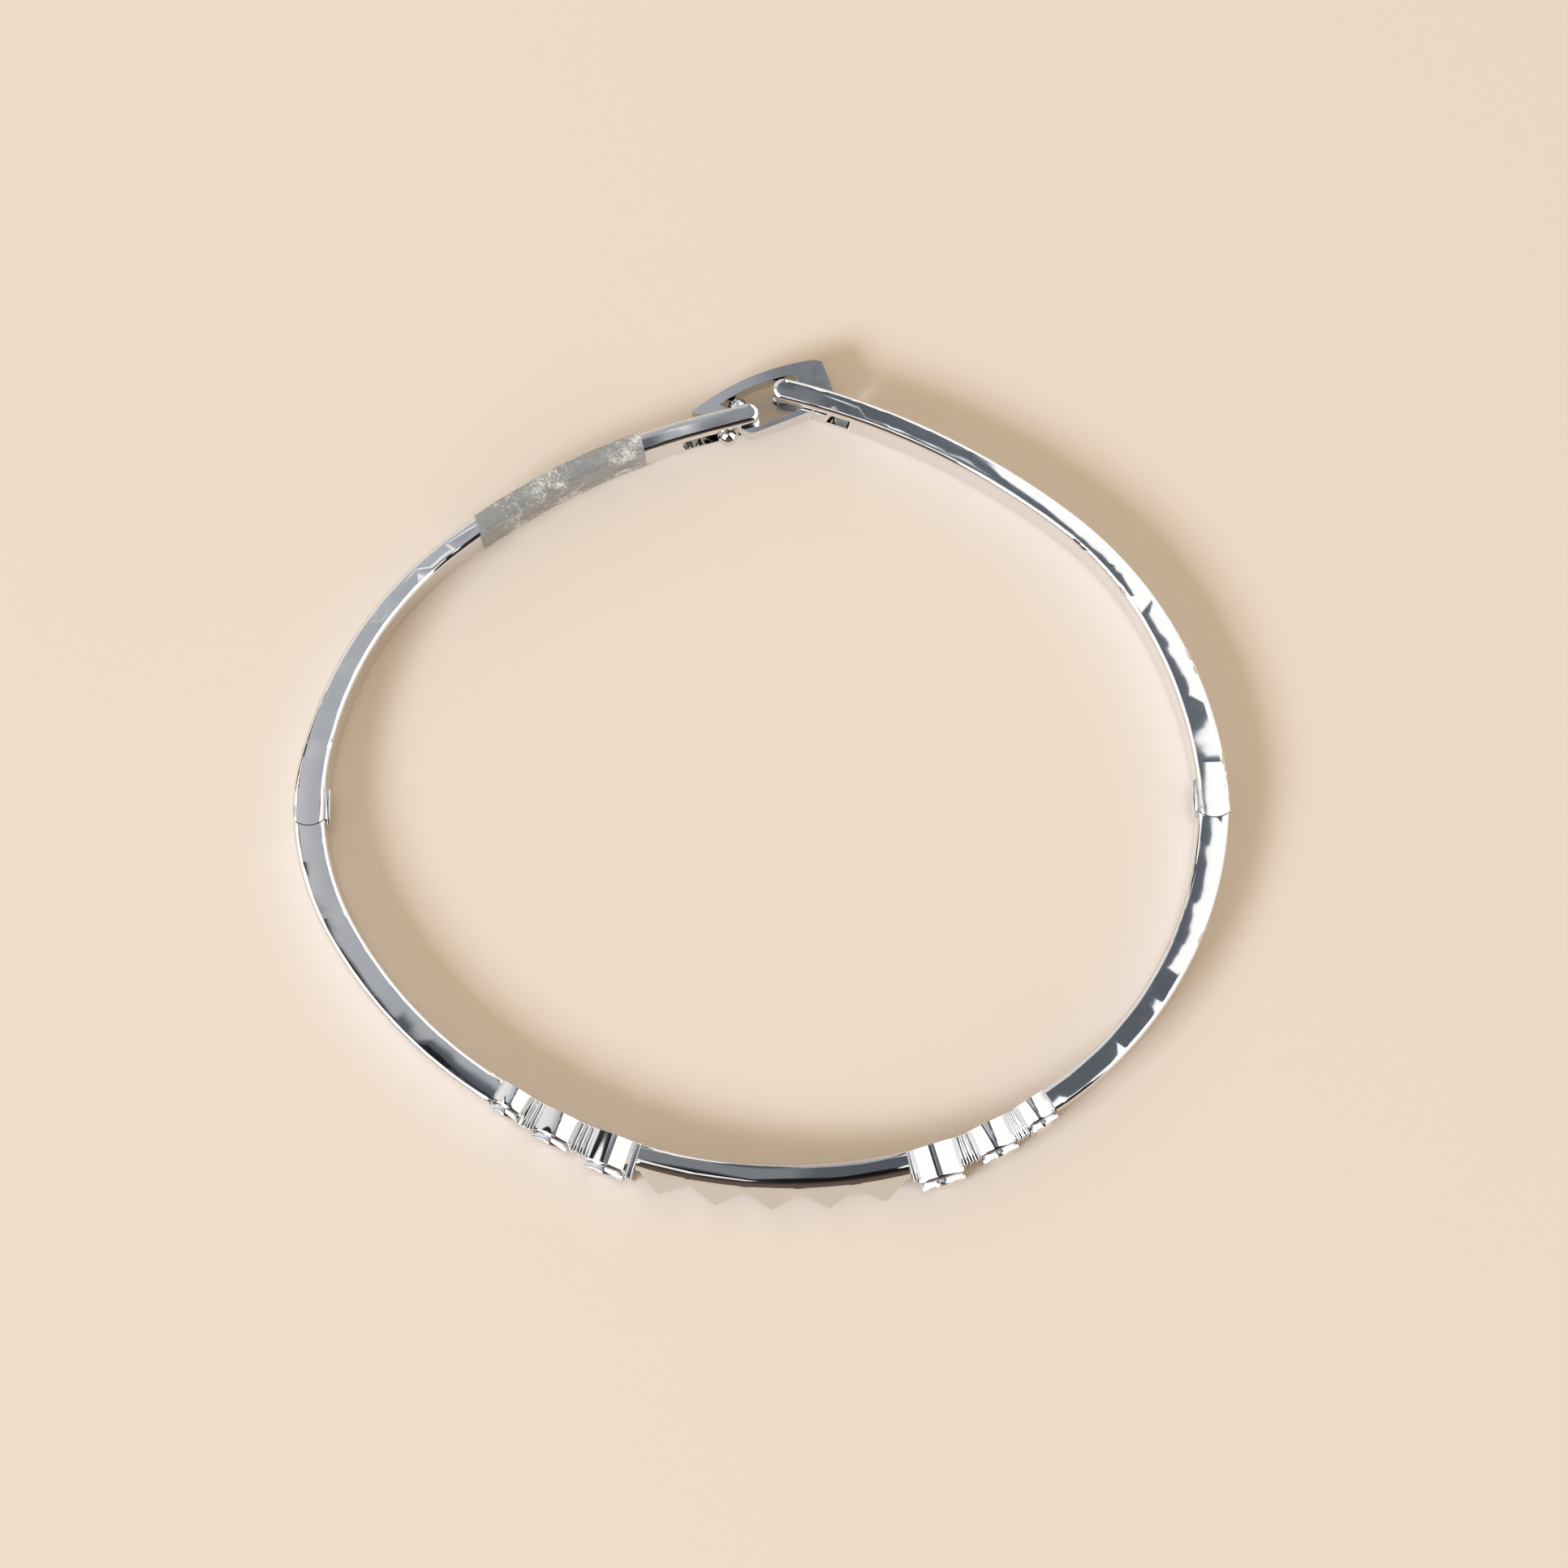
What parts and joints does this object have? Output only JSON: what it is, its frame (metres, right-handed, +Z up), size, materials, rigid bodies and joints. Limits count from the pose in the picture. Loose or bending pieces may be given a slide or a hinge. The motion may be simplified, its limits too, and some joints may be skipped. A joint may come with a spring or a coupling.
{
  "type": "bangle bracelet",
  "caption": "Oval hinged bangle in polished metal: stiff front with a row of pyramids between domed, ribbed stations, two rear arms on pins, and a swinging link clasp with a ball stud.",
  "frame": {"origin": "under the middle of the bangle's outline, on the plane of the edge it lies on", "axes": "+X to the right hinge, +Y to the clasp, +Z up along the wrist, from the lower edge to the upper one"},
  "size_m": [0.0625, 0.0576, 0.0038],
  "materials": {
    "polished_band": "mirror polished",
    "polished_pins": "polished",
    "polished_clasp": "polished",
    "clear_film": "thin clear plastic film"
  },
  "bodies": {
    "front": {"centre_pyramid_bar": "polished_band", "left_end_spacer": "polished_band", "left_front_bar": "polished_band", "left_inner_dome": "polished_band", "left_inner_spacer": "polished_band", "left_inner_station": "polished_band", "left_middle_dome": "polished_band", "left_middle_station": "polished_band", "left_outer_dome": "polished_band", "left_outer_spacer": "polished_band", "left_outer_station": "polished_band", "right_end_spacer": "polished_band", "right_front_bar": "polished_band", "right_inner_dome": "polished_band", "right_inner_spacer": "polished_band", "right_inner_station": "polished_band", "right_middle_dome": "polished_band", "right_middle_station": "polished_band", "right_outer_dome": "polished_band", "right_outer_spacer": "polished_band", "right_outer_station": "polished_band"},
    "left_arm": {"left_rear_arm": "polished_band", "left_hinge_pin": "polished_pins", "left_stop_plate": "polished_band", "protective_film_wrap": "clear_film"},
    "right_arm": {"right_rear_arm": "polished_band", "right_hinge_pin": "polished_pins", "right_stop_plate": "polished_band", "clasp_pivot_pin": "polished_pins"},
    "clasp": {"clasp_link": "polished_clasp", "catch_ball_stud": "polished_clasp"}
  },
  "joints": [
    {"name": "left_hinge", "type": "hinge", "parent": "front", "child": "left_arm", "pos_m": [-0.03005, -0.00185, 0.0018], "axis": [0, 0, 1], "range_deg": [0, 50]},
    {"name": "right_hinge", "type": "hinge", "parent": "front", "child": "right_arm", "pos_m": [0.03026, -0.0013, 0.0018], "axis": [0, 0, -1], "range_deg": [0, 50]},
    {"name": "clasp_swing", "type": "hinge", "parent": "right_arm", "child": "clasp", "pos_m": [0.00428, 0.02587, 0.0018], "axis": [0, 0, -1], "range_deg": [0, 55]}
  ]
}
